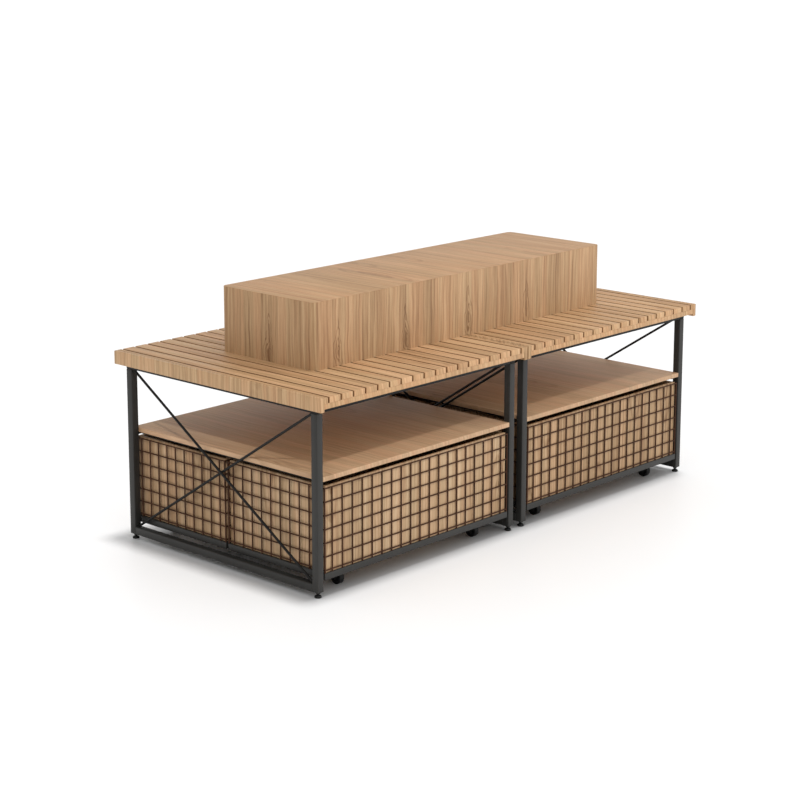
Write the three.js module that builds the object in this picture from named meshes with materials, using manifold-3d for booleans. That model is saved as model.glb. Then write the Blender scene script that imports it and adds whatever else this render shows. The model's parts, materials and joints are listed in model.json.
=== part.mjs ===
// Display table: two slatted tables on steel frames, end to end, with two rolling wire bins under each
// and one wood plinth across both tops. Millimetres, +Z up, X along the row of tables, Y across it.
// The origin is on the floor, under the middle of the row.
import * as THREE from "three";
import { mergeVertices } from "three/addons/utils/BufferGeometryUtils.js";
import Module from "manifold-3d";

const wasm = await Module();
wasm.setup();

// Table tops
const tableLength = 1140;
const tableWidth = 1125;
const tableHeight = 750;
const tableGap = 6;
const topThickness = 42;
const grooveDepth = 22;
const grooveWidth = 8;
const slatWidth = 54.4;
const leastEdgeSlat = 8;
const endBoardThickness = 18;
const endBoardHeight = 52;

// Steel frames
const legTube = 30;
const legInsetX = 22;
const legInsetY = 44;
const topFrameHeight = 25;
const bottomRailHeight = 30;
const braceRod = 8;
const braceLap = 0.4;
const bearerWidth = 30;
const bearerThickness = 8;
const weldDepth = 2;

// Shelf
const shelfTopHeight = 447;
const shelfThickness = 18;

// Levelling feet
const footGap = 20;
const footDisc = 27;
const footDiscHeight = 9;
const footStem = 10;
const footStemInLeg = 24;

// Plinth
const plinthLength = 1730;
const plinthWidth = 500;
const plinthHeight = 257;
const plinthPanel = 18;

// Bins
const binSideClearance = 7;
const binSetback = 0.5;
const binMiddleGap = 12;
const baseUnderside = 61;
const baseTube = 25;
const postSize = 6.5;
const wireSize = 4.5;
const wireLayerGap = 0.25;
const longSidePitch = 52.25;
const shortSidePitch = 49.75;
const leastEndCell = 20;
const rowPitch = 51;
const rowCount = 6;
const bottomWireRise = 10;
const crateGap = 0.75;
const crateWall = 12;
const crateFloor = 12;
const crateRise = 9;

// Castors
const wheelDiameter = 52;
const wheelWidth = 24;
const wheelEdge = 3;
const axlePin = 8;
const cheekThickness = 3;
const castorPlateLength = 64;
const castorPlateWidth = 50;
const castorPlateThickness = 4;
const cheekFoot = 18;
const castorInsetX = 133;
const castorInsetY = 69;

// Clearances: between seated pieces, and round what turns
const fit = 0.2;
const runningGap = 0.4;
const cheekGap = 1;

// Facets of the round pieces
const wheelFacets = 16;
const roundFacets = 12;

// Levels and places that follow from the sizes
const topUnderside = tableHeight - topThickness;
const legTop = topUnderside - topFrameHeight;
const legX = tableLength / 2 - legInsetX - legTube / 2;
const legY = tableWidth / 2 - legInsetY - legTube / 2;
const tableX = (tableLength + tableGap) / 2;
const frameFaceY = legY + legTube / 2;
const bayHalf = legX - legTube / 2;
const shelfUnderside = shelfTopHeight - shelfThickness;
const binLength = 2 * (bayHalf - binSideClearance);
const binFront = frameFaceY - binSetback;
const binDepth = binFront - binMiddleGap / 2;
const baseTop = baseUnderside + baseTube;
const bottomWire = baseTop + bottomWireRise;
const topWire = bottomWire + rowCount * rowPitch;
const crateInset = 2 * wireSize + wireLayerGap + crateGap;
const crateTop = topWire + crateRise;
const castorX = binLength / 2 - castorInsetX;
const castorY = binDepth / 2 - castorInsetY;

// Finishes
const finishes = {
  oak: { color: 0xc8a67e, roughness: 0.55, metalness: 0 },
  shelfOak: { color: 0xb8946c, roughness: 0.6, metalness: 0 },
  crateOak: { color: 0xbd9c76, roughness: 0.65, metalness: 0 },
  steel: { color: 0x3e3e3c, roughness: 0.5, metalness: 0.4 },
  wire: { color: 0x2e2620, roughness: 0.5, metalness: 0.4 },
  black: { color: 0x121212, roughness: 0.7, metalness: 0 },
};

// A box between two opposite corners.
function block(low, high) {
  const size = high.map((value, axis) => value - low[axis]);
  const middle = high.map((value, axis) => (value + low[axis]) / 2);
  return new THREE.BoxGeometry(...size).translate(...middle);
}

// A round bar of the given diameter between two heights, standing on Z.
function bar(diameter, low, high, facets) {
  const geometry = new THREE.CylinderGeometry(diameter / 2, diameter / 2, high - low, facets);
  return geometry.rotateX(Math.PI / 2).translate(0, 0, (low + high) / 2);
}

// A ring of square section between two heights: outer half sizes and the width of its sides.
function ring(halfX, halfY, width, low, high) {
  return cut(
    block([-halfX, -halfY, low], [halfX, halfY, high]),
    block([width - halfX, width - halfY, low - width], [halfX - width, halfY - width, high + width]),
  );
}

function solidOf(geometry) {
  const bare = geometry.clone();
  bare.deleteAttribute("normal");
  bare.deleteAttribute("uv");
  const merged = mergeVertices(bare, 1e-4);
  const mesh = new wasm.Mesh({
    numProp: 3,
    vertProperties: merged.attributes.position.array,
    triVerts: new Uint32Array(merged.index.array),
  });
  return new wasm.Manifold(mesh);
}

function geometryOf(solid) {
  const mesh = solid.getMesh();
  const geometry = new THREE.BufferGeometry();
  geometry.setAttribute("position", new THREE.BufferAttribute(mesh.vertProperties, 3));
  geometry.setIndex(new THREE.BufferAttribute(mesh.triVerts, 1));
  return geometry;
}

function join(...geometries) {
  return geometryOf(geometries.map(solidOf).reduce((whole, piece) => whole.add(piece)));
}

function cut(geometry, ...tools) {
  return geometryOf(tools.map(solidOf).reduce((whole, tool) => whole.subtract(tool), solidOf(geometry)));
}

function common(first, second) {
  return geometryOf(solidOf(first).intersect(solidOf(second)));
}

function piece(name, geometry, finish) {
  const material = new THREE.MeshStandardMaterial({ ...finishes[finish], flatShading: true });
  const mesh = new THREE.Mesh(geometry, material);
  mesh.name = name;
  return mesh;
}

function placed(object, x, y, z, turn = 0) {
  object.position.set(x, y, z);
  object.rotation.z = turn;
  return object;
}

// Two legs, the rail between their feet and the flat bar that carries one end of the shelf.
// The bar lies on the +X side of the legs. The plane of the leg centres is x = 0.
function legFrameGeometry() {
  const half = legTube / 2;
  const members = [
    block([-half, -legY, footGap], [half, legY, footGap + bottomRailHeight]),
    block(
      [half - weldDepth, -legY, shelfUnderside - fit - bearerThickness],
      [half + bearerWidth, legY, shelfUnderside - fit],
    ),
  ];
  const sockets = [];
  for (const side of [-1, 1]) {
    const y = side * legY;
    members.push(block([-half, y - half, footGap], [half, y + half, legTop - fit]));
    const socket = bar(footStem + 2 * runningGap, 0, footGap + footStemInLeg + runningGap, roundFacets);
    sockets.push(socket.translate(0, y, 0));
  }
  return cut(join(...members), ...sockets);
}

// Two rods across the opening of a leg frame, one lapped on the other, trimmed to the corners.
function crossBraceGeometry() {
  const halfY = legY - legTube / 2;
  const low = footGap + bottomRailHeight;
  const high = legTop;
  const slope = Math.atan2(high - low, 2 * halfY);
  const reach = Math.hypot(high - low, 2 * halfY) / 2 + legTube;
  const offset = (braceRod - braceLap) / 2;
  const rods = [-1, 1].map((side) => {
    const rod = bar(braceRod, -reach, reach, roundFacets);
    return rod.rotateX(side * (Math.PI / 2 - slope)).translate(side * offset, 0, (low + high) / 2);
  });
  const opening = block(
    [-legTube, fit - halfY, low + fit],
    [legTube, halfY - fit, high - fit],
  );
  return common(join(...rods), opening);
}

// The ring of tube between the legs and the wood top.
function topFrameGeometry() {
  return ring(legX + legTube / 2, frameFaceY, legTube, legTop, topUnderside - fit);
}

// Screw and disc of a levelling foot, turned on its own axis.
function footGeometry() {
  const stem = footStem / 2;
  const disc = footDisc / 2;
  const rim = footDiscHeight / 2;
  const profile = [
    [0, 0],
    [disc, 0],
    [disc, rim],
    [disc - rim, footDiscHeight],
    [stem, footDiscHeight],
    [stem, footGap + footStemInLeg],
    [0, footGap + footStemInLeg],
  ];
  const points = profile.map(([x, y]) => new THREE.Vector2(x, y));
  return new THREE.LatheGeometry(points, roundFacets).rotateX(Math.PI / 2);
}

// One board with grooves across it. The slats between the grooves are of one width, apart from the
// narrow strips that are left at the two ends.
function slatTopGeometry() {
  const halfLength = tableLength / 2 - endBoardThickness - fit;
  const pitch = slatWidth + grooveWidth;
  const count = Math.floor((2 * halfLength - 2 * leastEdgeSlat - grooveWidth) / pitch);
  const grooves = Array.from({ length: count + 1 }, (_, index) => (index - count / 2) * pitch);
  const outline = new THREE.Shape();
  outline.moveTo(-halfLength, -topThickness);
  outline.lineTo(halfLength, -topThickness);
  outline.lineTo(halfLength, 0);
  for (const x of grooves.reverse()) {
    outline.lineTo(x + grooveWidth / 2, 0);
    outline.lineTo(x + grooveWidth / 2, -grooveDepth);
    outline.lineTo(x - grooveWidth / 2, -grooveDepth);
    outline.lineTo(x - grooveWidth / 2, 0);
  }
  outline.lineTo(-halfLength, 0);
  const board = new THREE.ExtrudeGeometry(outline, { depth: tableWidth, bevelEnabled: false });
  return board.translate(0, 0, -tableWidth / 2).rotateX(Math.PI / 2);
}

function endBoardGeometry() {
  const half = endBoardThickness / 2;
  return block([-half, -tableWidth / 2, -endBoardHeight], [half, tableWidth / 2, 0]);
}

function shelfGeometry() {
  return block([fit - bayHalf, -frameFaceY, -shelfThickness], [bayHalf - fit, frameFaceY, 0]);
}

// Open wood box that stands on the base of a bin.
function crateGeometry() {
  const halfX = binLength / 2 - crateInset;
  const halfY = binDepth / 2 - crateInset;
  return cut(
    block([-halfX, -halfY, baseTop + fit], [halfX, halfY, crateTop]),
    block(
      [crateWall - halfX, crateWall - halfY, baseTop + fit + crateFloor],
      [halfX - crateWall, halfY - crateWall, crateTop + crateWall],
    ),
  );
}

// Places of the upright wires of one side: an even pitch about the middle, with a cut cell at each end.
function wirePlaces(half, pitch) {
  const span = 2 * half - postSize;
  const count = Math.floor((span - 2 * leastEndCell) / pitch);
  return Array.from({ length: count + 1 }, (_, index) => (index - count / 2) * pitch);
}

// Corner posts, upright wires in the outer layer under a top wire, and level wires in the inner layer.
function cageGeometry() {
  const halfX = binLength / 2;
  const halfY = binDepth / 2;
  const upright = (x, y, width, high) =>
    block([x - width / 2, y - width / 2, baseTop + fit], [x + width / 2, y + width / 2, high]);
  const level = (inset, height) =>
    ring(halfX - inset, halfY - inset, wireSize, height - wireSize / 2, height + wireSize / 2);
  const members = [level(0, topWire)];
  for (let row = 0; row < rowCount; row += 1) {
    members.push(level(wireSize + wireLayerGap, bottomWire + row * rowPitch));
  }
  for (const side of [-1, 1]) {
    for (const x of wirePlaces(halfX, longSidePitch)) {
      members.push(upright(x, side * (halfY - wireSize / 2), wireSize, topWire));
    }
    for (const y of wirePlaces(halfY, shortSidePitch)) {
      members.push(upright(side * (halfX - wireSize / 2), y, wireSize, topWire));
    }
    for (const across of [-1, 1]) {
      const postX = side * (halfX - postSize / 2);
      const postY = across * (halfY - postSize / 2);
      members.push(upright(postX, postY, postSize, topWire + wireSize / 2));
    }
  }
  return join(...members);
}

// One cheek of a castor fork, a wedge from the plate down to the axle, in the plane x = 0.
function cheekGeometry() {
  const axle = wheelDiameter / 2;
  const top = baseUnderside - castorPlateThickness / 2;
  const outline = new THREE.Shape();
  outline.moveTo(-castorPlateWidth / 2, top);
  outline.lineTo(-castorPlateWidth / 2, top - castorPlateThickness);
  outline.lineTo(-cheekFoot / 2, axle - cheekFoot / 4);
  outline.lineTo(-cheekFoot / 4, axle - cheekFoot / 2);
  outline.lineTo(cheekFoot / 4, axle - cheekFoot / 2);
  outline.lineTo(cheekFoot / 2, axle - cheekFoot / 4);
  outline.lineTo(castorPlateWidth / 2, top - castorPlateThickness);
  outline.lineTo(castorPlateWidth / 2, top);
  const cheek = new THREE.ExtrudeGeometry(outline, { depth: cheekThickness, bevelEnabled: false });
  return cheek.translate(0, 0, -cheekThickness / 2).rotateX(Math.PI / 2).rotateZ(Math.PI / 2);
}

// Plate, two cheeks and the axle pin of one castor.
function forkMembers(x, y) {
  const away = wheelWidth / 2 + cheekGap + cheekThickness / 2;
  const plate = block(
    [-castorPlateLength / 2, -castorPlateWidth / 2, baseUnderside - castorPlateThickness],
    [castorPlateLength / 2, castorPlateWidth / 2, baseUnderside + castorPlateThickness / 2],
  );
  const pin = bar(axlePin, -away, away, roundFacets).rotateY(Math.PI / 2);
  const members = [
    plate,
    cheekGeometry().translate(-away, 0, 0),
    cheekGeometry().translate(away, 0, 0),
    pin.translate(0, 0, wheelDiameter / 2),
  ];
  return members.map((member) => member.translate(x, y, 0));
}

// Ring of tube under the crate, two rails across it over the castors, and the four forks.
function baseGeometry() {
  const halfY = binDepth / 2;
  const members = [ring(binLength / 2, halfY, baseTube, baseUnderside, baseTop)];
  for (const x of [-castorX, castorX]) {
    const inside = halfY - baseTube / 2;
    members.push(
      block([x - baseTube / 2, -inside, baseUnderside], [x + baseTube / 2, inside, baseTop]),
    );
    for (const y of [-castorY, castorY]) {
      members.push(...forkMembers(x, y));
    }
  }
  return join(...members);
}

// Wheel with its bore, turned on X.
function wheelGeometry() {
  const bore = axlePin / 2 + runningGap;
  const radius = wheelDiameter / 2;
  const half = wheelWidth / 2;
  const profile = [
    [bore, -half],
    [radius - wheelEdge, -half],
    [radius, wheelEdge - half],
    [radius, half - wheelEdge],
    [radius - wheelEdge, half],
    [bore, half],
    [bore, -half],
  ];
  const points = profile.map(([x, y]) => new THREE.Vector2(x, y));
  return new THREE.LatheGeometry(points, wheelFacets).rotateZ(Math.PI / 2);
}

const shapes = {
  legFrame: legFrameGeometry(),
  crossBrace: crossBraceGeometry(),
  topFrame: topFrameGeometry(),
  foot: footGeometry(),
  slatTop: slatTopGeometry(),
  endBoard: endBoardGeometry(),
  shelf: shelfGeometry(),
  crate: crateGeometry(),
  cage: cageGeometry(),
  base: baseGeometry(),
  wheel: wheelGeometry(),
};

// A bin drawn with its front to -Y.
function bin(name) {
  const group = new THREE.Group();
  group.add(piece(`${name}_crate`, shapes.crate, "crateOak"));
  group.add(piece(`${name}_cage`, shapes.cage, "wire"));
  group.add(piece(`${name}_base`, shapes.base, "steel"));
  const corners = [
    ["front_left", -1, -1],
    ["front_right", 1, -1],
    ["rear_left", -1, 1],
    ["rear_right", 1, 1],
  ];
  for (const [corner, sideX, sideY] of corners) {
    const wheel = piece(`${name}_${corner}_wheel`, shapes.wheel, "black");
    group.add(placed(wheel, sideX * castorX, sideY * castorY, wheelDiameter / 2));
  }
  return group;
}

function table(name) {
  const group = new THREE.Group();
  const boardX = (tableLength - endBoardThickness) / 2;
  for (const [end, side] of [["left", -1], ["right", 1]]) {
    const turn = side > 0 ? Math.PI : 0;
    group.add(placed(piece(`${name}_${end}_leg_frame`, shapes.legFrame, "steel"), side * legX, 0, 0, turn));
    group.add(placed(piece(`${name}_${end}_cross_brace`, shapes.crossBrace, "steel"), side * legX, 0, 0, turn));
    const board = piece(`${name}_${end}_end_board`, shapes.endBoard, "oak");
    group.add(placed(board, side * boardX, 0, tableHeight));
    for (const [edge, across] of [["front", -1], ["back", 1]]) {
      const foot = piece(`${name}_${edge}_${end}_foot`, shapes.foot, "black");
      group.add(placed(foot, side * legX, across * legY, 0));
    }
  }
  group.add(piece(`${name}_top_frame`, shapes.topFrame, "steel"));
  group.add(placed(piece(`${name}_slat_top`, shapes.slatTop, "oak"), 0, 0, tableHeight));
  group.add(placed(piece(`${name}_shelf`, shapes.shelf, "shelfOak"), 0, 0, shelfTopHeight));
  const binY = binFront - binDepth / 2;
  group.add(placed(bin(`${name}_front_bin`), 0, -binY, 0));
  group.add(placed(bin(`${name}_back_bin`), 0, binY, 0, Math.PI));
  return group;
}

// Five panels: the top lies on the sides, and the ends stand between the long sides.
function plinth() {
  const group = new THREE.Group();
  const halfX = plinthLength / 2;
  const halfY = plinthWidth / 2;
  const wall = plinthHeight - plinthPanel - fit;
  const top = block([-halfX, -halfY, plinthHeight - plinthPanel], [halfX, halfY, plinthHeight]);
  const side = block([-halfX, -plinthPanel / 2, fit], [halfX, plinthPanel / 2, wall]);
  const endHalf = halfY - plinthPanel - fit;
  const end = block([-plinthPanel / 2, -endHalf, fit], [plinthPanel / 2, endHalf, wall]);
  group.add(piece("plinth_top", top, "oak"));
  group.add(placed(piece("plinth_front", side, "oak"), 0, plinthPanel / 2 - halfY, 0));
  group.add(placed(piece("plinth_back", side, "oak"), 0, halfY - plinthPanel / 2, 0));
  group.add(placed(piece("plinth_left_end", end, "oak"), plinthPanel / 2 - halfX, 0, 0));
  group.add(placed(piece("plinth_right_end", end, "oak"), halfX - plinthPanel / 2, 0, 0));
  return group;
}

const displayTable = new THREE.Group();
displayTable.add(placed(table("table1"), -tableX, 0, 0));
displayTable.add(placed(table("table2"), tableX, 0, 0));
displayTable.add(placed(plinth(), 0, 0, tableHeight));

export default displayTable;
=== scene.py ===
import json
import math
import random

import bmesh
import bpy
from mathutils import Matrix, Vector

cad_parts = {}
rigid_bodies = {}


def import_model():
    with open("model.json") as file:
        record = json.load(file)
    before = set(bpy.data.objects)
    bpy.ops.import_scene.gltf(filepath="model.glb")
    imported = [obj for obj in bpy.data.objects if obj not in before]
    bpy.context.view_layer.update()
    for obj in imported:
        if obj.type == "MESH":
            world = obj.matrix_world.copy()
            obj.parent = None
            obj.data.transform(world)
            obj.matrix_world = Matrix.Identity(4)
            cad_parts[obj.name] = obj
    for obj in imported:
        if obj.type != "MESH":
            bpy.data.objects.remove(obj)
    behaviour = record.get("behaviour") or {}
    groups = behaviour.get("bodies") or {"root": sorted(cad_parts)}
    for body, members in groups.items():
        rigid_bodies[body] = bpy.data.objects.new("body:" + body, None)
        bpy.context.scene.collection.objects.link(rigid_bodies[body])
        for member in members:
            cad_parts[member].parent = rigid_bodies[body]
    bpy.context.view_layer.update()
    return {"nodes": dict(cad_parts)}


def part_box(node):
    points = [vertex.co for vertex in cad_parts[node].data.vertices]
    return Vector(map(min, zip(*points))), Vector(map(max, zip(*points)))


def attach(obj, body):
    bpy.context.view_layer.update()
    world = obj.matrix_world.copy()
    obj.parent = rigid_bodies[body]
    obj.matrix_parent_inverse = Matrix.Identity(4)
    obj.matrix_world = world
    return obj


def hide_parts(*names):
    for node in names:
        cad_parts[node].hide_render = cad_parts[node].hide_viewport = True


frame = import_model()
dice = random.Random(11)  # plank tones, drawn in the order the boards are made
mm = 0.001
print("frame loaded:", len(frame["nodes"]), "nodes")


# a wrapped socket: sums written on it add their Math nodes
class Value:
    def __init__(self, look, socket):
        self.look = look
        self.socket = socket

    def __add__(self, other):
        return self.look.maths("ADD", self, other)

    def __sub__(self, other):
        return self.look.maths("SUBTRACT", self, other)

    def __rsub__(self, other):
        return self.look.maths("SUBTRACT", other, self)

    def __mul__(self, other):
        return self.look.maths("MULTIPLY", self, other)

    def __truediv__(self, other):
        return self.look.maths("DIVIDE", self, other)

    def __rtruediv__(self, other):
        return self.look.maths("DIVIDE", other, self)

    __radd__ = __add__
    __rmul__ = __mul__


# one material with its node tree
class Look:
    def __init__(self, name):
        self.material = bpy.data.materials.new(name)
        self.material.use_nodes = True
        self.tree = self.material.node_tree
        self.shader = self.tree.nodes["Principled BSDF"]

    def node(self, kind, settings=None, sockets=None, out=0):
        made = self.tree.nodes.new(kind)
        for key, value in (settings or {}).items():
            if key == "stops":
                while len(made.color_ramp.elements) < len(value):
                    made.color_ramp.elements.new(0.5)
                for element, (place, colour) in zip(made.color_ramp.elements, value):
                    element.position = place
                    element.color = (*colour, 1)
            else:
                setattr(made, key, value)
        for key, value in (sockets or {}).items():
            self.feed(made.inputs[key], value)
        return Value(self, made.outputs[out])

    def feed(self, socket, value):
        if isinstance(value, Value):
            self.tree.links.new(value.socket, socket)
        elif socket.type == "RGBA" and len(value) == 3:
            socket.default_value = (*value, 1)
        else:
            socket.default_value = value

    def maths(self, operation, *values):
        return self.node("ShaderNodeMath", {"operation": operation}, dict(enumerate(values)))

    def mix(self, factor, first, second, blend="MIX"):
        settings = {"data_type": "RGBA", "blend_type": blend}
        sockets = {0: factor, 6: first, 7: second}  # 6, 7 and output 2 are the colours
        return self.node("ShaderNodeMix", settings, sockets, out=2)

    def between(self, value, low, high, start=0.0, end=1.0):
        settings = {"interpolation_type": "SMOOTHSTEP"}
        return self.node("ShaderNodeMapRange", settings, {0: value, 1: low, 2: high, 3: start, 4: end})

    def fade(self, value, low, high):
        return self.between(value, low, high, 1.0, 0.0)

    def vector(self, x, y, z):
        return self.node("ShaderNodeCombineXYZ", sockets={0: x, 1: y, 2: z})

    def noise(self, place, detail=2.0, rough=0.5):
        sockets = {"Vector": place, "Scale": 1.0, "Detail": detail, "Roughness": rough}
        return self.node("ShaderNodeTexNoise", sockets=sockets)

    def cloud(self, spot, waves, detail=2.0, rough=0.5):
        return self.noise(self.vector(*(part * waves for part in spot)), detail, rough)

    def chance(self, value):
        return self.node("ShaderNodeTexWhiteNoise", {"noise_dimensions": "1D"}, {"W": value})

    def place(self):
        spot = self.node("ShaderNodeTexCoord", out=3)  # the object's own coordinates
        parts = self.node("ShaderNodeSeparateXYZ", sockets={0: spot}).socket.node.outputs
        return [Value(self, part) for part in parts]

    def bump(self, height, strength, distance):
        sockets = {"Strength": strength, "Distance": distance, "Height": height}
        return self.node("ShaderNodeBump", sockets=sockets)

    def finish(self, colour, rough, normal=None, shine=None):
        self.feed(self.shader.inputs["Base Color"], colour)
        self.feed(self.shader.inputs["Roughness"], rough)
        if normal:
            self.feed(self.shader.inputs["Normal"], normal)
        if shine is not None:
            self.shader.inputs["Specular IOR Level"].default_value = shine
        return self.material


# oak veneer: leaves of their own tone, rings bent round knots, streaks, fibres and pores along the grain
oakTones = {
    "dark": (0.230, 0.118, 0.052),
    "mid": (0.478, 0.292, 0.152),
    "light": (0.640, 0.430, 0.250),
    "pink": (1.03, 0.99, 0.97),
    "olive": (0.97, 1.00, 0.99),
    "midStop": 0.55,
    "hueBand": (0.34, 0.66),
    "leafHue": 0.25,
    "poreTone": 0.22,
    "shine": 0.32,
    "roughFibre": 0.16,
    "roughPore": 0.12,
}
# each noise: waves per metre across and along the grain, seed, detail, roughness
oakNoise = {
    "sway": (7.0, 6.0, 9.0, 2.0, 0.5),
    "wander": (3.2, 1.1, 0.0, 2.0, 0.5),
    "broad": (9.0, 0.55, 4.0, 2.0, 0.5),
    "streak": (82.0, 1.9, 0.0, 3.0, 0.62),
    "fibre": (330.0, 7.0, 2.0, 3.0, 0.6),
    "hue": (46.0, 0.9, 6.0, 2.0, 0.6),
    "pores": (1300.0, 42.0, 0.0, 1.0, 0.5),
}
oakRings = {
    "plankShift": 7.31,
    "tilt": 0.2,
    "sway": 0.016,
    "leavesPerMetre": 21.0,
    "leafWander": 0.5,
    "leafShift": 3.0,
    "ringsPerMetre": 58.0,
    "wander": 0.07,
    "broad": 3.0,
    "knot": 2.2,
    "lateBand": (0.35, 0.93, 1.0),  # starts, darkest, gone
    "poreBand": (0.60, 0.72),
}
# how far each feature moves the tone, and how deep it lies
oakDepth = {
    "middle": 0.60,
    "streak": 1.45,
    "fibre": 0.8,
    "late": 0.16,
    "lateAtKnot": 0.20,
    "knotLine": 0.38,
    "broad": 0.40,
    "leaf": 0.12,
    "heart": 0.24,
    "plank": 0.18,
    "relief": {"fibre": 0.5, "pore": 0.7, "late": 0.25},
    "bump": (0.22, 0.4 * mm),  # strength, distance
}
# lone knots in cells, or a row of flame knots: first place, spacing and height come with the look
knots = {
    "share": 0.30,
    "shareSoft": 0.04,
    "cells": (8.5, 1.9),  # per metre across and along
    "cellShift": 1.7,
    "loose": 0.9,
    "small": 2.2,
    "wide": 33.0,
    "foot": 7.0,
    "tall": 6.5,
    "stagger": 0.06,
    "crookWaves": (26.0, 14.0),  # per metre across and along
    "crookSeed": 8.0,
    "crook": 1.4,
    "unlike": 0.3,
    "kept": (0.08, 0.1),  # luck below this leaves the place bare
    "heartBand": (0.05, 0.24),
    "lines": 2.3,
    "lineFibre": 0.25,
    "lineBand": (0.45, 0.85, 1.0),  # starts, darkest, gone
    "lineReach": (0.75, 1.1),
}


def loneKnots(look, across, along, shift):
    acrossWaves, alongWaves = knots["cells"]
    cell = look.vector(across * acrossWaves + shift, along * alongWaves + shift * knots["cellShift"], shift)
    sockets = {"Vector": cell, "Scale": 1.0, "Randomness": knots["loose"]}
    away = look.node("ShaderNodeTexVoronoi", {"voronoi_dimensions": "2D"}, sockets)
    cellColour = Value(look, away.socket.node.outputs[1])
    picked = look.node("ShaderNodeSeparateColor", sockets={0: cellColour})
    least = 1.0 - knots["share"]
    return away * knots["small"], look.between(picked, least, least + knots["shareSoft"])


def flameKnots(look, across, along, shift, row):
    first, spacing, height = row
    turn = (across - first) / spacing + 0.5
    step = look.maths("FLOOR", turn)
    luck = look.chance(step)
    side = (turn - step - 0.5) * spacing * knots["wide"]
    rise = along - height - (luck - 0.5) * knots["stagger"]
    above = look.maths("MAXIMUM", rise, 0.0)
    below = look.vector(side, (rise - above) * knots["foot"], 0.0)
    spread = look.node("ShaderNodeVectorMath", {"operation": "LENGTH"}, {0: below}, out=1)
    acrossWaves, alongWaves = knots["crookWaves"]
    crook = look.noise(look.vector(across * acrossWaves, along * alongWaves, shift + knots["crookSeed"]))
    bent = (crook - 0.5) * knots["crook"] + (luck - 0.5) * knots["unlike"]
    return spread + above * knots["tall"] + bent, look.between(luck, *knots["kept"])


def oak(name, grain, tint, contrast, knotDepth, gloss=0.5, row=None):
    look = Look(name)
    x, y, z = look.place()
    plank = look.node("ShaderNodeAttribute", {"attribute_name": "plank"}, out=2)  # as a plain number
    across, along = (x - y, z) if grain == "z" else (x + z * oakRings["tilt"], y)
    shift = plank * oakRings["plankShift"]

    def figure(kind):
        acrossWaves, alongWaves, seed, detail, rough = oakNoise[kind]
        place = look.vector(across * acrossWaves, along * alongWaves + shift, shift + seed)
        return look.noise(place, detail, rough)

    across = across + (figure("sway") - 0.5) * oakRings["sway"]
    wander, broad, hue = figure("wander"), figure("broad"), figure("hue")
    streak, fibre = figure("streak"), figure("fibre")
    pores = look.between(figure("pores"), *oakRings["poreBand"])

    if row:
        away, chosen = flameKnots(look, across, along, shift, row)
    else:
        away, chosen = loneKnots(look, across, along, shift)
    near, heart, inside = (
        look.fade(away, *band) * chosen * knotDepth
        for band in ((0.0, 1.0), knots["heartBand"], knots["lineReach"])
    )
    low, high, end = knots["lineBand"]
    line = look.maths("FRACT", away * knots["lines"] + (fibre - 0.5) * knots["lineFibre"])
    line = look.between(line, low, high) * look.fade(line, high, end) * inside

    leaf = look.maths("FLOOR", across * oakRings["leavesPerMetre"] + wander * oakRings["leafWander"] + shift)
    leafTone = look.chance(leaf)
    rings = (across + wander * oakRings["wander"]) * oakRings["ringsPerMetre"] + broad * oakRings["broad"]
    rings = rings + near * near * oakRings["knot"]
    low, high, end = oakRings["lateBand"]
    late = look.maths("FRACT", rings + leafTone * oakRings["leafShift"])
    late = look.between(late, low, high) * look.fade(late, high, end)

    depth = (streak - 0.5) * oakDepth["streak"] + (fibre - 0.5) * oakDepth["fibre"]
    depth = depth - late * (oakDepth["late"] + near * oakDepth["lateAtKnot"])
    depth = depth - line * oakDepth["knotLine"] + (broad - 0.5) * oakDepth["broad"]
    level = oakDepth["middle"] + (depth + (leafTone - 0.5) * oakDepth["leaf"]) * contrast
    level = level - heart * oakDepth["heart"] + (plank - 0.5) * oakDepth["plank"]
    stops = [(0.0, oakTones["dark"]), (oakTones["midStop"], oakTones["mid"]), (1.0, oakTones["light"])]
    colour = look.node("ShaderNodeValToRGB", {"stops": stops}, {0: level})
    warmth = look.between(hue + (leafTone - 0.5) * oakTones["leafHue"], *oakTones["hueBand"])
    colour = look.mix(1.0, colour, look.mix(warmth, oakTones["olive"], oakTones["pink"]), "MULTIPLY")
    colour = look.mix(pores * oakTones["poreTone"], colour, oakTones["dark"])
    colour = look.mix(1.0, colour, tint, "MULTIPLY")

    relief = oakDepth["relief"]
    height = relief["fibre"] * fibre - relief["pore"] * pores - relief["late"] * late
    rough = gloss + (fibre - 0.5) * oakTones["roughFibre"] + pores * oakTones["roughPore"]
    return look.finish(colour, rough, look.bump(height, *oakDepth["bump"]), oakTones["shine"])


# powder coat on steel: fine orange peel, faint clouds, paler rubbed specks
coatMarks = {
    "clouds": (7.0, 4.0, 0.6),  # waves per metre, detail, roughness
    "cloudBand": (0.3, 0.7),
    "specks": (160.0, 3.0),
    "speckBand": (0.66, 0.74),
    "speckTone": 0.25,
    "rubbed": 2.4,
    "roughClouds": 0.18,
    "bump": (0.10, 0.3 * mm),
}


def coat(name, colour, pale, rough=0.46, peel=520.0, shine=0.36):
    look = Look(name)
    spot = look.place()
    clouds = look.cloud(spot, *coatMarks["clouds"])
    grain = look.cloud(spot, peel)
    specks = look.between(look.cloud(spot, *coatMarks["specks"]), *coatMarks["speckBand"])
    paint = look.mix(look.between(clouds, *coatMarks["cloudBand"]), colour, pale)
    rubbed = tuple(part * coatMarks["rubbed"] for part in pale)
    paint = look.mix(specks * coatMarks["speckTone"], paint, rubbed)
    rough = rough + (clouds - 0.5) * coatMarks["roughClouds"]
    return look.finish(paint, rough, look.bump(grain, *coatMarks["bump"]), shine)


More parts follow.
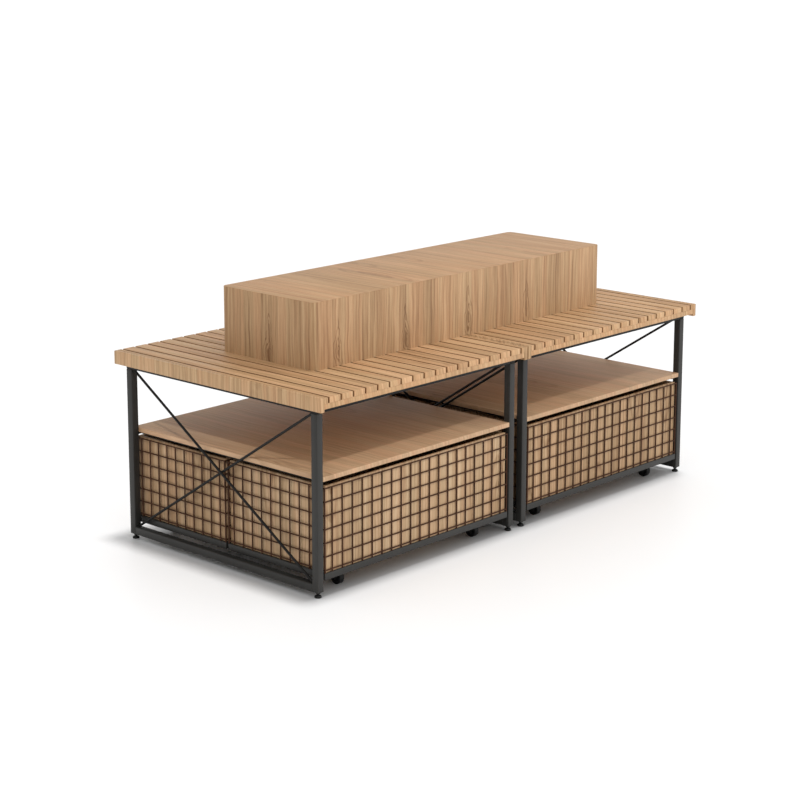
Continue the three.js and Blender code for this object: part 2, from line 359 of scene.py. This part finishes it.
# black rubber and moulded plastic: dust in patches and a fine pitted skin
blackMarks = {
    "dust": (60.0, 5.0, 0.65),  # waves per metre, detail, roughness
    "dustBand": (0.48, 0.78),
    "skin": 900.0,
    "roughDust": 0.2,
    "bump": (0.12, 0.3 * mm),
    "shine": 0.2,
}


def black(name, colour, dusty, rough):
    look = Look(name)
    spot = look.place()
    dust = look.cloud(spot, *blackMarks["dust"])
    skin = look.cloud(spot, blackMarks["skin"])
    paint = look.mix(look.between(dust, *blackMarks["dustBand"]), colour, dusty)
    rough = rough + (dust - 0.5) * blackMarks["roughDust"]
    return look.finish(paint, rough, look.bump(skin, *blackMarks["bump"]), blackMarks["shine"])


crateOak = {"tint": (0.88, 0.92, 0.98), "contrast": 1.0, "knotDepth": 0.8, "gloss": 0.6}
flameRow = (-0.487, 0.37, 0.812)
looks = {
    "plinthSide": oak("plinthSideOak", "z", (0.90, 0.89, 0.875), contrast=1.0, knotDepth=1.0, row=flameRow),
    "plinthTop": oak("plinthTopOak", "y", (1.04, 0.99, 0.96), contrast=0.75, knotDepth=0.6),
    "slat": oak("slatOak", "y", (1.09, 1.06, 1.03), contrast=0.85, knotDepth=0.5),
    "endBoard": oak("endBoardOak", "z", (0.99, 0.99, 0.98), contrast=0.9, knotDepth=0.3),
    "shelf": oak("shelfOak", "y", (1.07, 1.12, 1.27), contrast=0.5, knotDepth=0.7),
    "crate": oak("crateOak", "z", **crateOak),
    "crateFloor": oak("crateFloorOak", "y", **crateOak),
    "steel": coat("frameSteelCoat", (0.0185, 0.0175, 0.0155), (0.0245, 0.0235, 0.0210)),
    # a darker copy of the frame coat: painted shade on the top frame under the slats, the shelf bearers and the
    # brace rods
    "paintedShadeSteel": coat("frameSteelPaintedShade", (0.0065, 0.0060, 0.0054), (0.0105, 0.0098, 0.0088), rough=0.5, shine=0.2),
    "wire": coat("cageWireCoat", (0.046, 0.018, 0.0085), (0.062, 0.026, 0.013), rough=0.55, peel=700.0, shine=0.12),
    "wheel": black("wheelRubber", (0.006, 0.006, 0.006), (0.020, 0.019, 0.018), rough=0.62),
    "fork": black("castorForkBlack", (0.010, 0.010, 0.010), (0.022, 0.022, 0.021), rough=0.42),
    "foot": black("footPlastic", (0.005, 0.005, 0.005), (0.014, 0.014, 0.014), rough=0.5),
}
print("finishes made:", len(looks))


# a pile of shaped stock that becomes one mesh, each length with its own plank number
class Stock:
    def __init__(self):
        self.points = []
        self.faces = []
        self.planks = []

    def take(self, shape, plank=0.5):
        first = len(self.points)
        shape.verts.index_update()
        self.points += [point.co.copy() for point in shape.verts]
        self.planks += [plank] * len(shape.verts)
        self.faces += [[first + point.index for point in face.verts] for face in shape.faces]
        shape.free()
        return self

    def add(self, other):
        first = len(self.points)
        self.points += other.points
        self.planks += other.planks
        self.faces += [[first + index for index in face] for face in other.faces]

    def shift(self, move):
        self.points = [move @ point for point in self.points]

    def mesh(self, name, smooth):
        mesh = bpy.data.meshes.new(name)
        mesh.from_pydata(self.points, [], self.faces)
        mesh.attributes.new("plank", "FLOAT", "POINT").data.foreach_set("value", self.planks)
        mesh.shade_smooth()
        mesh.set_sharp_from_angle(angle=math.radians(smooth))
        return mesh


def softened(shape, edge, steps=2, edges=None):
    edges = shape.edges[:] if edges is None else edges
    options = {"profile": 0.5, "affect": "EDGES", "clamp_overlap": True}
    bmesh.ops.bevel(shape, geom=edges, offset=edge, segments=steps, **options)
    bmesh.ops.recalc_face_normals(shape, faces=shape.faces)
    return shape


# a board or bar between two corners with eased edges
def board(low, high, edge, steps=2):
    shape = bmesh.new()
    low, high = Vector(low), Vector(high)
    move = Matrix.Translation((low + high) / 2) @ Matrix.Diagonal((*(high - low), 1))
    bmesh.ops.create_cube(shape, size=1.0, matrix=move)
    return softened(shape, edge, steps)


# a skin over closed sections of equal point count, capped at both ends
def lofted(sections):
    shape = bmesh.new()
    rows = [[shape.verts.new(spot) for spot in section] for section in sections]
    for here, there in zip(rows, rows[1:]):
        for i in range(len(here)):
            k = (i + 1) % len(here)
            shape.faces.new((here[i], here[k], there[k], there[i]))
    shape.faces.new(rows[0][::-1])
    shape.faces.new(rows[-1])
    bmesh.ops.recalc_face_normals(shape, faces=shape.faces)
    return shape


def rod(start, end, radius, sides=8):
    shape = bmesh.new()
    start, end = Vector(start), Vector(end)
    way = end - start
    ends = {"cap_ends": True, "radius1": radius, "radius2": radius}
    bmesh.ops.create_cone(shape, segments=sides, depth=way.length, **ends)
    turn = way.to_track_quat("Z", "Y").to_matrix().to_4x4()
    bmesh.ops.transform(shape, matrix=Matrix.Translation((start + end) / 2) @ turn, verts=shape.verts)
    return shape


hexagon = 6  # sides of a nut or a bolt head


# a closed turned form on Z from points of radius and height
def turned(profile, sides):
    shape = bmesh.new()
    rows = []
    for step in range(sides):
        angle = 2 * math.pi * step / sides
        rows.append([shape.verts.new((r * math.cos(angle), r * math.sin(angle), h)) for r, h in profile])
    for step in range(sides):
        here, there = rows[step], rows[(step + 1) % sides]
        for i in range(len(profile)):
            k = (i + 1) % len(profile)
            shape.faces.new((here[i], there[i], there[k], here[k]))
    bmesh.ops.remove_doubles(shape, verts=shape.verts, dist=1e-6)
    bmesh.ops.recalc_face_normals(shape, faces=shape.faces)
    return shape


# a flat plate cut to an outline in Y and Z, with its thickness along X
def plate(outline, x, thickness, edge):
    faces = [[(x + side * thickness / 2, y, z) for y, z in outline] for side in (-1, 1)]
    return softened(lofted(faces), edge)


def addPiece(name, stock, look, body, slot, *nodes, smooth=40.0):
    piece = bpy.data.objects.new(name, stock.mesh(name, smooth))
    bpy.context.scene.collection.objects.link(piece)
    piece.data.materials.append(looks[look])
    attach(piece, body)
    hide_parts(*nodes)


# plinth: five mitred panels, bent round the upright corners
plinth = {
    "panel": 18 * mm,
    "edge": 1.2 * mm,
    "radius": 23 * mm,
    "rimBand": 0.1 * mm,
    "steps": 12,  # in half a corner
    "sides": ("plinth_front", "plinth_right_end", "plinth_back", "plinth_left_end"),
}


def cornerBends(hubs, reach):
    steps = plinth["steps"]
    bends = []
    for quarter, (x, y) in enumerate(hubs):
        angles = [math.pi * (1 + (quarter + i / steps / 2) / 2) for i in range(2 * steps + 1)]
        bends.append([(x + reach * math.cos(angle), y + reach * math.sin(angle)) for angle in angles])
    return bends


def makePlinth():
    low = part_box("plinth_front")[0]
    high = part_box("plinth_top")[1]
    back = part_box("plinth_back")[1]
    panel, radius, steps = plinth["panel"], plinth["radius"], plinth["steps"]
    x0, y0, x1, y1 = low.x + radius, low.y + radius, high.x - radius, back.y - radius
    hubs = [(x0, y0), (x1, y0), (x1, y1), (x0, y1)]
    outer, inner = cornerBends(hubs, radius), cornerBends(hubs, radius - panel)
    skirt = high.z - panel
    rings = [[(*spot, z) for bend in ring for spot in bend] for ring, z in ((outer, high.z), (inner, skirt))]
    forms = {"plinth_top": lofted(rings)}
    for k, node in enumerate(plinth["sides"]):
        after = (k + 1) % len(hubs)
        faces = [ring[k][steps:] + ring[after][: steps + 1] for ring in (outer, inner)]
        forms[node] = lofted([[(*a, low.z), (*a, high.z), (*b, skirt), (*b, low.z)] for a, b in zip(*faces)])
    for node, form in forms.items():
        rimLow = high.z - plinth["rimBand"]
        rim = [edge for edge in form.edges if min(point.co.z for point in edge.verts) > rimLow]
        look = "plinthTop" if node == "plinth_top" else "plinthSide"
        stock = Stock().take(softened(form, plinth["edge"], edges=rim))
        addPiece(node + "_panel", stock, look, "tables", "oak", node)


# slats on a backing board, with a dark skin in each groove as painted shade
slats = {
    "width": 53 * mm,
    "groove": 9.4 * mm,
    "thick": 22 * mm,
    "edge": 0.8 * mm,
    "setback": 1.5 * mm,
    "leastEdge": 8 * mm,
    "lap": 0.2 * mm,
    "backTone": 0.4,
    "skin": 0.6 * mm,
    "skinEdge": 0.1 * mm,
    # plank value of the groove skins, far below the boards: painted shade in the grooves
    "paintedGrooveShade": -3.6,
}


def makeSlatTop(table):
    low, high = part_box(table + "_slat_top")
    half, back, edge, skin = slats["groove"] / 2, slats["setback"], slats["edge"], slats["skin"]
    pitch = slats["width"] + slats["groove"]
    middle = (low.x + high.x) / 2
    count = int((high.x - low.x - slats["groove"] - 2 * slats["leastEdge"]) / pitch)
    grooves = [middle + (i - count / 2) * pitch for i in range(count + 1)]
    split = high.z - slats["thick"]
    stock = Stock()
    backing = board((low.x, low.y + back, low.z), (high.x, high.y - back, split + slats["lap"]), edge)
    stock.take(backing, slats["backTone"])
    starts = [low.x] + [groove + half for groove in grooves]
    ends = [groove - half for groove in grooves] + [high.x]
    for start, end in zip(starts, ends):
        stock.take(board((start, low.y, split), (end, high.y, high.z), edge), dice.random())
    y0, y1 = low.y + 2 * back, high.y - 2 * back
    # each groove's floor and walls get a thin skin with a far darker plank value: painted shade in the recess
    for groove in grooves:
        a, b, top = groove - half, groove + half, high.z - skin
        for x0, x1, z1 in ((a, b, split + skin), (a, a + skin, top), (b - skin, b, top)):
            stock.take(board((x0, y0, split), (x1, y1, z1), slats["skinEdge"], 1), slats["paintedGrooveShade"])
    addPiece(table + "_slats", stock, "slat", "tables", "oak", table + "_slat_top")


# end boards and shelf
boards = {"endEdge": 1.6 * mm, "shelfEdge": 1.4 * mm, "steps": 3}


def makeBoards(table):
    for end in ("left", "right"):
        node = f"{table}_{end}_end_board"
        stock = Stock().take(board(*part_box(node), boards["endEdge"], boards["steps"]), dice.random())
        addPiece(node + "_lipping", stock, "endBoard", "tables", "oak", node)
    node = table + "_shelf"
    stock = Stock().take(board(*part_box(node), boards["shelfEdge"], boards["steps"]), dice.random())
    addPiece(node + "_board", stock, "shelf", "tables", "shelf_oak", node)


# square tube with round corners; the welds lie along the joints
tube = {
    "leg": 30 * mm,
    "rail": 30 * mm,
    "corner": 2.6 * mm,
    "steps": 3,
    "lap": 1 * mm,
    "weld": 1.7 * mm,
    "weldInset": 3 * mm,
}
bearer = {"thick": 8 * mm, "edge": 0.9 * mm, "notch": 12 * mm, "tabLap": 2 * mm, "below": 0.2 * mm}


def tubing(low, high, corner=tube["corner"]):
    return board(low, high, corner, tube["steps"])


def makeLegFrame(table, end):
    node = f"{table}_{end}_leg_frame"
    low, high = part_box(node)
    inward = 1 if end == "left" else -1
    size, lap, weld, inset = tube["leg"], tube["lap"], tube["weld"], tube["weldInset"]
    x0 = low.x if inward > 0 else high.x - size
    x1 = x0 + size
    stock = Stock()
    for y0 in (low.y, high.y - size):
        stock.take(tubing((x0, y0, low.z), (x1, y0 + size, high.z)))
    inside = (low.y + size, high.y - size)
    rail = low.z + tube["rail"]
    stock.take(tubing((x0, inside[0] - lap, low.z), (x1, inside[1] + lap, rail)))
    for y in inside:
        stock.take(rod((x0 + inset, y, rail), (x1 - inset, y, rail), weld))
    addPiece(node + "_tubes", stock, "steel", "tables", "dark_steel", node)

    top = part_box(table + "_shelf")[0].z - bearer["below"]
    sill = top - bearer["thick"]
    near = x1 if inward > 0 else x0
    far = high.x if inward > 0 else low.x
    start = near + inward * bearer["notch"]
    half = size / 2

    def flat(ends, y0, y1):
        return board((min(ends), y0, sill), (max(ends), y1, top), bearer["edge"])

    # the bearer takes the darker steel coat: painted shade under the shelf edge
    bars = Stock().take(flat((start, far), low.y + half, high.y - half))
    for y0 in (low.y + half, high.y - size):
        bars.take(flat((near - inward * lap, start + inward * bearer["tabLap"]), y0, y0 + half))
        bars.take(rod((near, y0 + lap, sill), (near, y0 + half - lap, sill), weld))
    addPiece(node + "_bearer", bars, "paintedShadeSteel", "tables", "dark_steel", node)


# brace rods from corner to corner, one lapped on the other, with a weld above and below the crossing
brace = {"radius": 5 * mm, "sides": 14, "lap": 4 * mm, "sink": 3 * mm}
brace["weld"] = {"radius": 2.2 * mm, "half": 2.5 * mm, "rise": 3.5 * mm}


def makeBrace(table, end):
    node = f"{table}_{end}_cross_brace"
    low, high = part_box(node)
    x = (low.x + high.x) / 2
    stock = Stock()
    for side in (-1, 1):
        shift = x + side * brace["lap"] * (1 if end == "left" else -1)
        start = Vector((shift, low.y * side * -1, low.z))
        finish = Vector((shift, low.y * side, high.z))
        pull = (finish - start).normalized() * brace["sink"]
        stock.take(rod(start - pull, finish + pull, brace["radius"], brace["sides"]))
    weld = brace["weld"]
    middle = (low.z + high.z) / 2
    for z in (middle - weld["rise"], middle + weld["rise"]):
        stock.take(rod((x, -weld["half"], z), (x, weld["half"], z), weld["radius"]))
    # the rods take the darker steel coat: painted shade
    addPiece(node + "_rods", stock, "paintedShadeSteel", "tables", "dark_steel", node)


def makeTopFrame(table):
    node = table + "_top_frame"
    low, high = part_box(node)
    size, lap = tube["leg"], tube["lap"]
    stock = Stock()
    for x0 in (low.x, high.x - size):
        stock.take(tubing((x0, low.y, low.z), (x0 + size, high.y, high.z)))
    for y0 in (low.y, high.y - size):
        stock.take(tubing((low.x + size - lap, y0, low.z), (high.x - size + lap, y0 + size, high.z)))
    # the top frame takes the darker steel coat: painted shade under the slat top
    addPiece(node + "_tubes", stock, "paintedShadeSteel", "tables", "dark_steel", node)


# levelling foot: rubber pad, domed disc, screw and a lock nut under the leg
foot = {
    "disc": 13.5 * mm,
    "height": 9 * mm,
    "screw": 4.8 * mm,
    "pitch": 1.5 * mm,
    "thread": 0.7 * mm,
    "threadStart": 0.5 * mm,
    "leg": 20 * mm,
    "sides": 28,
    # millimetres from the disc's edge, and from the floor or the disc's top
    "pad": ((-1.2, 0), (-0.4, 0.5), (-0.4, 2), (0, 2.2)),
    "dome": ((0, -4.4), (-1.0, -3), (-3.4, -1), (-4.6, 0)),
    "nut": {"radius": 8.6 * mm, "low": 6 * mm, "high": 0.6 * mm, "chamfer": 0.8 * mm, "bite": 1 * mm},
}


def makeFoot(node):
    low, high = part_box(node)
    middle = (low + high) / 2
    disc, screw, top, leg, pitch = foot["disc"], foot["screw"], foot["height"], foot["leg"], foot["pitch"]
    root = screw - foot["thread"]
    pad = [(0, 0)] + [(disc + r * mm, h * mm) for r, h in foot["pad"]]
    dome = [(disc + r * mm, top + h * mm) for r, h in foot["dome"]] + [(screw, top)]
    thread = []
    for i in range(int((leg - top) / pitch) - 1):
        start = top + foot["threadStart"] + pitch * i
        thread += [(root, start), (screw, start + pitch / 2)]
    tip = [(root, leg), (root, high.z), (0, high.z)]
    stock = Stock().take(turned(pad + dome + thread + tip, foot["sides"]))
    nut = foot["nut"]
    wide, chamfer, bore = nut["radius"], nut["chamfer"], screw - nut["bite"]
    start, end = leg - nut["low"], leg - nut["high"]
    lower = [(bore, start), (wide - chamfer, start), (wide, start + chamfer)]
    upper = [(wide, end - chamfer), (wide - chamfer, end), (bore, end)]
    stock.take(turned(lower + upper, hexagon))
    stock.shift(Matrix.Translation((middle.x, middle.y, 0)))
    addPiece(node + "_turned", stock, "foot", node, "foot_plastic", node, smooth=30.0)


for tableName in ("table1", "table2"):
    makeSlatTop(tableName)
    makeBoards(tableName)
    makeTopFrame(tableName)
    for endName in ("left", "right"):
        makeLegFrame(tableName, endName)
        makeBrace(tableName, endName)
        for edgeName in ("front", "back"):
            makeFoot(f"{tableName}_{edgeName}_{endName}_foot")
makePlinth()
print("tables and plinth made")

# bin crate: four walls and a floor, a little fuller and lower than the solid
crate = {"wall": 12 * mm, "floor": 12 * mm, "edge": 0.7 * mm, "swell": 3.3 * mm, "drop": 2.5 * mm}
crate["endDrop"] = 0.2 * mm
# per-table plank offset: the second table's crates darker and the first's a touch lighter, a painted falloff of the
# light across the tables
crate["tone"] = {"table1": 0.1, "table2": -1.0}


def makeCrate(name):
    node = name + "_crate"
    low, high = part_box(node)
    low = low - Vector((0, crate["swell"], 0))
    high = high + Vector((0, crate["swell"], -crate["drop"]))
    wall, edge = crate["wall"], crate["edge"]
    # painted light falloff: the per-table offset darkens the second table's crate boards
    tone = crate["tone"][name.split("_")[0]]
    stock = Stock()
    for y0 in (low.y, high.y - wall):
        side = board((low.x, y0, low.z), (high.x, y0 + wall, high.z), edge)
        stock.take(side, dice.random() + tone)
    for x0 in (low.x, high.x - wall):
        end = board((x0, low.y + wall, low.z), (x0 + wall, high.y - wall, high.z - crate["endDrop"]), edge)
        stock.take(end, dice.random() + tone)
    addPiece(node + "_boards", stock, "crate", name, "crate_oak", node)
    inside = ((low.x + wall, low.y + wall, low.z), (high.x - wall, high.y - wall, low.z + crate["floor"]))
    floor = Stock().take(board(*inside, edge), dice.random() + tone)
    addPiece(node + "_floor", floor, "crateFloor", name, "crate_oak", node)


# wire cage: corner posts, upright wires outside, level wires inside them but for the top one
cage = {
    "wire": 2.75 * mm,
    "post": 3.25 * mm,
    "postSides": 12,
    "rows": 6,
    "pitch": 51 * mm,
    "rise": 9.8 * mm,
    "columns": (52.25 * mm, 49.75 * mm),
    "leastCell": 20 * mm,
    "depth": 6.6 * mm,
    "topBand": 5 * mm,
    "uprightCut": 1 * mm,
}


def makeCage(name):
    node = name + "_cage"
    low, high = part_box(node)
    wire, post = cage["wire"], cage["post"]
    stock = Stock()
    for x in (low.x + post, high.x - post):
        for y in (low.y + post, high.y - post):
            stock.take(rod((x, y, low.z), (x, y, high.z), post, cage["postSides"]))
    for z in [low.z + cage["rise"] + cage["pitch"] * i for i in range(cage["rows"] + 1)]:
        depth = wire if z > high.z - cage["topBand"] else cage["depth"] - wire
        x0, y0, x1, y1 = low.x + depth, low.y + depth, high.x - depth, high.y - depth
        for y in (y0, y1):
            stock.take(rod((x0, y, z), (x1, y, z), wire))
        for x in (x0, x1):
            stock.take(rod((x, y0, z), (x, y1, z), wire))
    for axis, pitch in enumerate(cage["columns"]):
        span = high[axis] - low[axis] - 2 * post
        count = int((span - 2 * cage["leastCell"]) / pitch)
        for i in range(count + 1):
            along = (low[axis] + high[axis]) / 2 + (i - count / 2) * pitch
            for off in (low[1 - axis] + wire, high[1 - axis] - wire):
                spot = (along, off) if axis == 0 else (off, along)
                stock.take(rod((*spot, low.z), (*spot, high.z - cage["uprightCut"]), wire))
    addPiece(node + "_wires", stock, "wire", name, "mesh_wire", node)


# tube base on fixed castors: a bolted plate with two cheeks, and the wheel on a pin between them
base = {"tube": 25 * mm, "corner": 2.2 * mm}
castor = {
    "plate": (64 * mm, 50 * mm, 4 * mm),
    "plateEdge": 1.2 * mm,
    "cheek": 3 * mm,
    "cheekEdge": 0.6 * mm,
    "away": 14.5 * mm,
    "foot": 9 * mm,
    "footSteps": 8,
    "shoulder": (3 * mm, 4 * mm, 9 * mm),
    "pin": 4 * mm,
    "pinSides": 16,
    "pinNut": (6.2 * mm, 2.6 * mm),
    "bolt": (4.6 * mm, 2.2 * mm),
    "boltSpot": (25 * mm, 17 * mm),
    "sunk": 0.5 * mm,
    "radius": 26 * mm,
}


def wheelsOf(name):
    return sorted(node for node in frame["nodes"] if node.startswith(name) and node.endswith("_wheel"))


def centreOf(node):
    low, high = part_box(node)
    return (low + high) / 2


def forkStock(under):
    plateX, plateY, plateZ = castor["plate"]
    radius, half, away, cheek, sunk = (castor[key] for key in ("radius", "foot", "away", "cheek", "sunk"))
    top, neck, drop = castor["shoulder"]
    angles = [math.pi * (1 + i / castor["footSteps"]) for i in range(castor["footSteps"] + 1)]
    outline = [(-plateY / 2 + top, under - plateZ / 2), (-plateY / 2 + neck, under - drop)]
    outline += [(half * math.cos(angle), radius + half * math.sin(angle)) for angle in angles]
    outline += [(plateY / 2 - neck, under - drop), (plateY / 2 - top, under - plateZ / 2)]
    corners = (-plateX / 2, -plateY / 2, under - plateZ), (plateX / 2, plateY / 2, under + sunk)
    stock = Stock().take(board(*corners, castor["plateEdge"]))
    nutRadius, nutHeight = castor["pinNut"]
    boltRadius, boltHead = castor["bolt"]
    boltX, boltY = castor["boltSpot"]
    for side in (-1, 1):
        stock.take(plate(outline, side * away, cheek, castor["cheekEdge"]))
        face = away + cheek / 2
        nutEnds = (side * (face - sunk), 0, radius), (side * (face + nutHeight), 0, radius)
        stock.take(rod(*nutEnds, nutRadius, hexagon))
        for y in (-boltY, boltY):
            boltEnds = [(side * boltX, y, under - plateZ + rise) for rise in (-boltHead, sunk)]
            stock.take(rod(*boltEnds, boltRadius, hexagon))
    return stock.take(rod((-away, 0, radius), (away, 0, radius), castor["pin"], castor["pinSides"]))


def makeBase(name):
    node = name + "_base"
    low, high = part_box(node)
    size, lap = base["tube"], tube["lap"]
    under = high.z - size
    y0, y1 = low.y + size - lap, high.y - size + lap
    places = [centreOf(each) for each in wheelsOf(name)]
    stock = Stock()
    for y in (low.y, high.y - size):
        stock.take(tubing((low.x, y, under), (high.x, y + size, high.z), base["corner"]))
    # the two castors in a line share a rail
    castorRails = [x - size / 2 for x in sorted({round(place.x, 4) for place in places})]
    for x in (low.x, high.x - size, *castorRails):
        stock.take(tubing((x, y0, under), (x + size, y1, high.z), base["corner"]))
    addPiece(node + "_tubes", stock, "steel", name, "dark_steel", node)
    forks = Stock()
    for place in places:
        fork = forkStock(under)
        fork.shift(Matrix.Translation((place.x, place.y, 0)))
        forks.add(fork)
    addPiece(node + "_castor_forks", forks, "fork", name, "foot_plastic", node)


# wheel: hub, dished web and a tyre with a round shoulder
wheel = {
    "half": 12 * mm,
    "clear": 0.3 * mm,
    "boreClear": 0.4 * mm,
    "rim": 7 * mm,
    "round": 3 * mm,
    "roundSteps": 5,
    "sides": 40,
    # millimetres: hub and web by radius, the rim from its own edge, each with the depth from the wheel's face
    "hub": ((9, 0), (9.6, 1), (10, 3.5)),
    "lip": ((-1, 3.5), (0, 0.8), (0.8, 0)),
}


def makeWheel(node):
    half, shoulder, steps = wheel["half"], wheel["round"], wheel["roundSteps"]
    radius = castor["radius"] - wheel["clear"]
    rim = radius - wheel["rim"]
    profile = [(castor["pin"] + wheel["boreClear"], half)]
    profile += [(r * mm, half - depth * mm) for r, depth in wheel["hub"]]
    profile += [(rim + r * mm, half - depth * mm) for r, depth in wheel["lip"]]
    angles = [math.pi / 2 * i / steps for i in range(steps + 1)]
    profile += [
        (radius - shoulder + shoulder * math.sin(angle), half - shoulder + shoulder * math.cos(angle))
        for angle in angles
    ]
    profile += [(r, -h) for r, h in reversed(profile)]
    stock = Stock().take(turned(profile, wheel["sides"]))
    stock.shift(Matrix.Translation(centreOf(node)) @ Matrix.Rotation(math.pi / 2, 4, "Y"))
    addPiece(node + "_tyre", stock, "wheel", node, "wheel_rubber", node, smooth=35.0)


for tableName in ("table1", "table2"):
    for sideName in ("front", "back"):
        binName = f"{tableName}_{sideName}_bin"
        makeCrate(binName)
        makeCage(binName)
        makeBase(binName)
        for nodeName in wheelsOf(binName):
            makeWheel(nodeName)
print("bins made")

# stage: pale floor under a white sky; a key, a broad fill and a little more on the near shelf light the part,
# and a high sun gives the floor its shade
stage = {
    "reach": 150.0,
    "below": 0.2 * mm,
    "floor": (0.85, 0.85, 0.85),
    "dull": 0.985,
    "cloudWaves": 3.0,
    "rough": (0.42, 0.04),
    "sky": 0.70,
    "nearShelf": "table1_shelf_board",
    # strength, size in degrees, way to the sun, what it lights
    "suns": {
        "key": (0.74, 2.5, (-0.65, -0.67, 1.0), "part"),
        "overhead": (2.1, 8.0, (0.07, -0.035, 1.0), "floor"),
        "shelfKey": (0.3, 2.5, (-0.65, -0.67, 1.0), "shelf"),
        "fill": (1.22, 70.0, (0.6, -0.75, 0.58), "part"),
    },
}


def makeFloor():
    shape = bmesh.new()
    bmesh.ops.create_grid(shape, x_segments=1, y_segments=1, size=stage["reach"])
    mesh = bpy.data.meshes.new("studioFloor")
    shape.to_mesh(mesh)
    shape.free()
    floor = bpy.data.objects.new("studioFloor", mesh)
    bpy.context.scene.collection.objects.link(floor)
    floor.location.z = -stage["below"]
    look = Look("studioFloorPaint")
    x, y, z = look.place()
    faint = look.noise(look.vector(x * stage["cloudWaves"], y * stage["cloudWaves"], z))
    colour = look.mix(faint, stage["floor"], tuple(part * stage["dull"] for part in stage["floor"]))
    rough, roughClouds = stage["rough"]
    floor.data.materials.append(look.finish(colour, rough + faint * roughClouds))
    return floor


def makeLights(floor):
    world = bpy.data.worlds.new("studio")
    world.use_nodes = True
    sky = world.node_tree.nodes["Background"].inputs
    sky["Color"].default_value = (1, 1, 1, 1)
    sky["Strength"].default_value = stage["sky"]
    bpy.context.scene.world = world
    lit = {name: bpy.data.collections.new("lit" + name) for name in ("floor", "part", "shelf")}
    lit["floor"].objects.link(floor)
    for piece in bpy.context.scene.objects:
        if piece.type == "MESH" and piece != floor:
            lit["part"].objects.link(piece)
    lit["shelf"].objects.link(bpy.data.objects[stage["nearShelf"]])
    for name, (energy, spread, way, group) in stage["suns"].items():
        sun = bpy.data.lights.new(name, "SUN")
        sun.energy = energy
        sun.angle = math.radians(spread)
        lamp = bpy.data.objects.new(name, sun)
        lamp.rotation_euler = Vector(way).to_track_quat("Z", "Y").to_euler()
        lamp.light_linking.receiver_collection = lit[group]
        bpy.context.scene.collection.objects.link(lamp)


# camera: solved from the straight edges of the tops, legs and plinth
shot = {
    "spot": (-5.9409, -5.3489, 2.4592),
    "azimuth": -47.10,
    "pitch": 11.33,
    "focalPixels": 2003.6,
    "centre": (390.0, 300.0),
    "image": 800.0,
    "sensor": 36.0,
    "clip": 600.0,
}


def makeCamera():
    image, (centreX, centreY) = shot["image"], shot["centre"]
    data = bpy.data.cameras.new("shopCamera")
    data.sensor_width = shot["sensor"]
    data.lens = shot["sensor"] * shot["focalPixels"] / image
    data.shift_x = (image / 2 - centreX) / image
    data.shift_y = (centreY - image / 2) / image
    data.clip_end = shot["clip"]
    camera = bpy.data.objects.new("shopCamera", data)
    turn, lift = math.radians(shot["azimuth"]), math.radians(shot["pitch"])
    back = Vector((math.sin(turn) * math.cos(lift), -math.cos(turn) * math.cos(lift), math.sin(lift)))
    camera.location = shot["spot"]
    camera.rotation_euler = back.to_track_quat("Z", "Y").to_euler()
    bpy.context.scene.collection.objects.link(camera)
    bpy.context.scene.camera = camera


makeLights(makeFloor())
makeCamera()
bpy.context.scene.view_settings.view_transform = "Standard"
print("stage and camera set")
